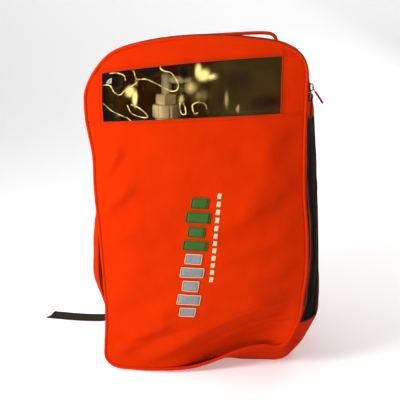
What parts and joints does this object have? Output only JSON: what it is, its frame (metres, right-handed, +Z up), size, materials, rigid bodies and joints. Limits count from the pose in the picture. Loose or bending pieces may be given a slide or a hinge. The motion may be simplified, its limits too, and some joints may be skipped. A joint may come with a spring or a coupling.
{
  "type": "portable oxygen concentrator in backpack",
  "caption": "Portable oxygen concentrator in its bright orange zipped backpack, with a clear window over the outlet, a carry handle and padded shoulder straps.",
  "frame": {"origin": "on the floor, under the middle of the pack", "axes": "+X to the right as seen from the window side, +Y towards the shoulder straps, +Z up"},
  "size_m": [0.4353, 0.2693, 0.4663],
  "materials": {
    "orange_fabric": "woven polyester, matt, fluorescent orange",
    "black_mesh": "knitted air mesh",
    "black_webbing": "flat polyester webbing",
    "clear_film": "clear soft vinyl, glossy and a little wavy",
    "zip_black": "zip tape with coil teeth",
    "slider_metal": "black enamel",
    "casing_plastic": "fine texture",
    "dark_plastic": "fine texture",
    "cream_plastic": "satin, slightly aged",
    "green_plastic": "satin gloss",
    "aluminium": "machined",
    "steel": "ground",
    "rubber": "matt",
    "foam": "open-cell foam",
    "board_green": "solder mask",
    "silicone": "translucent silicone hose"
  },
  "bodies": {
    "pack": {"base_panel": "orange_fabric", "back_panel": "orange_fabric", "side_gusset_left": "orange_fabric", "side_gusset_right": "orange_fabric", "side_mesh_left": "black_mesh", "side_mesh_right": "black_mesh", "top_gusset": "orange_fabric", "front_sill": "orange_fabric", "piping_base": "orange_fabric", "piping_back": "orange_fabric", "zip_half_body": "zip_black", "shoulder_strap_left": "orange_fabric", "shoulder_strap_right": "orange_fabric", "ladder_lock_left": "dark_plastic", "ladder_lock_right": "dark_plastic", "strap_anchor_left": "black_webbing", "strap_anchor_right": "black_webbing", "strap_tail_left": "black_webbing", "strap_tail_right": "black_webbing", "retaining_belt": "black_webbing", "foam_plinth": "foam", "casing_front": "casing_plastic", "casing_rear": "casing_plastic", "chassis": "dark_plastic", "isolation_mat": "rubber", "compressor_crankcase": "aluminium", "cylinder_head_left": "aluminium", "cylinder_head_right": "aluminium", "motor_housing": "steel", "sieve_bed_left": "aluminium", "sieve_bed_right": "aluminium", "valve_manifold": "dark_plastic", "product_tank": "aluminium", "product_hose": "silicone", "control_board": "board_green", "fan_frame": "dark_plastic", "intake_filter": "foam", "outlet_fitting": "cream_plastic", "control_panel": "dark_plastic"},
    "front_flap": {"front_panel": "orange_fabric", "window_film": "clear_film", "flap_gusset": "orange_fabric", "piping_flap": "orange_fabric", "zip_half_flap": "zip_black"},
    "zip_slider_lower": {"zip_slider_lower": "slider_metal"},
    "zip_slider_upper": {"zip_slider_upper": "slider_metal"},
    "zip_pull_lower": {"zip_pull_lower": "orange_fabric"},
    "zip_pull_upper": {"zip_pull_upper": "orange_fabric"},
    "carry_handle": {"carry_handle": "orange_fabric"},
    "battery_pack": {"battery_pack": "dark_plastic"},
    "battery_latch": {"battery_latch": "green_plastic"},
    "fan_rotor": {"fan_rotor": "dark_plastic"},
    "crankshaft": {"crankshaft": "steel"},
    "piston_left": {"piston_left": "aluminium"},
    "piston_right": {"piston_right": "aluminium"},
    "outlet_collar": {"outlet_collar": "cream_plastic"},
    "filter_cover": {"filter_cover": "dark_plastic"},
    "power_button": {"power_button": "green_plastic"},
    "flow_down_button": {"flow_down_button": "casing_plastic"},
    "flow_up_button": {"flow_up_button": "casing_plastic"}
  },
  "joints": [
    {"name": "flap_hinge", "type": "hinge", "parent": "pack", "child": "front_flap", "pos_m": [0, -0.077, 0.0605], "axis": [1, 0, 0], "range_deg": [0, 94]},
    {"name": "lower_slider_run", "type": "slide", "parent": "pack", "child": "zip_slider_lower", "axis": [0, 0, -1], "range_m": [0, 0.3]},
    {"name": "upper_slider_run", "type": "hinge", "parent": "pack", "child": "zip_slider_upper", "pos_m": [0.081, -0.0502, 0.39333], "axis": [0, -1, 0], "range_deg": [0, 79]},
    {"name": "lower_pull_swing", "type": "hinge", "parent": "zip_slider_lower", "child": "zip_pull_lower", "pos_m": [0.1425, -0.0502, 0.38143], "axis": [0, -1, 0], "range_deg": [0, 40]},
    {"name": "upper_pull_swing", "type": "hinge", "parent": "zip_slider_upper", "child": "zip_pull_upper", "pos_m": [0.1425, -0.0502, 0.39333], "axis": [0, -1, 0], "range_deg": [0, 100]},
    {"name": "handle_lift", "type": "slide", "parent": "pack", "child": "carry_handle", "axis": [0, 0, 1], "range_m": [0, 0.015]},
    {"name": "battery_slide", "type": "slide", "parent": "pack", "child": "battery_pack", "axis": [0, 0, 1], "range_m": [0, 0.075]},
    {"name": "battery_latch_slide", "type": "slide", "parent": "battery_pack", "child": "battery_latch", "axis": [1, 0, 0], "range_m": [0, 0.004], "stiffness_N_per_m": 200},
    {"name": "fan_spin", "type": "hinge", "parent": "pack", "child": "fan_rotor", "pos_m": [-0.0927, 0.0225, 0.11], "axis": [1, 0, 0], "continuous": true},
    {"name": "crank_spin", "type": "hinge", "parent": "pack", "child": "crankshaft", "pos_m": [0, -0.005, 0.096], "axis": [0, 1, 0], "continuous": true},
    {"name": "left_piston_stroke", "type": "slide", "parent": "pack", "child": "piston_left", "axis": [-1, 0, 0], "range_m": [-0.003, 0.003]},
    {"name": "right_piston_stroke", "type": "slide", "parent": "pack", "child": "piston_right", "axis": [1, 0, 0], "range_m": [-0.003, 0.003]},
    {"name": "collar_turn", "type": "hinge", "parent": "pack", "child": "outlet_collar", "pos_m": [-0.046, -0.027, 0.3592], "axis": [0, 0, 1], "range_deg": [0, 90]},
    {"name": "filter_cover_pull", "type": "slide", "parent": "pack", "child": "filter_cover", "axis": [1, 0, 0], "range_m": [0, 0.02]},
    {"name": "power_button_travel", "type": "slide", "parent": "pack", "child": "power_button", "axis": [0, 1, 0], "range_m": [0, 0.0012], "stiffness_N_per_m": 500},
    {"name": "flow_down_button_travel", "type": "slide", "parent": "pack", "child": "flow_down_button", "axis": [0, 1, 0], "range_m": [0, 0.0012], "stiffness_N_per_m": 500},
    {"name": "flow_up_button_travel", "type": "slide", "parent": "pack", "child": "flow_up_button", "axis": [0, 1, 0], "range_m": [0, 0.0012], "stiffness_N_per_m": 500}
  ]
}
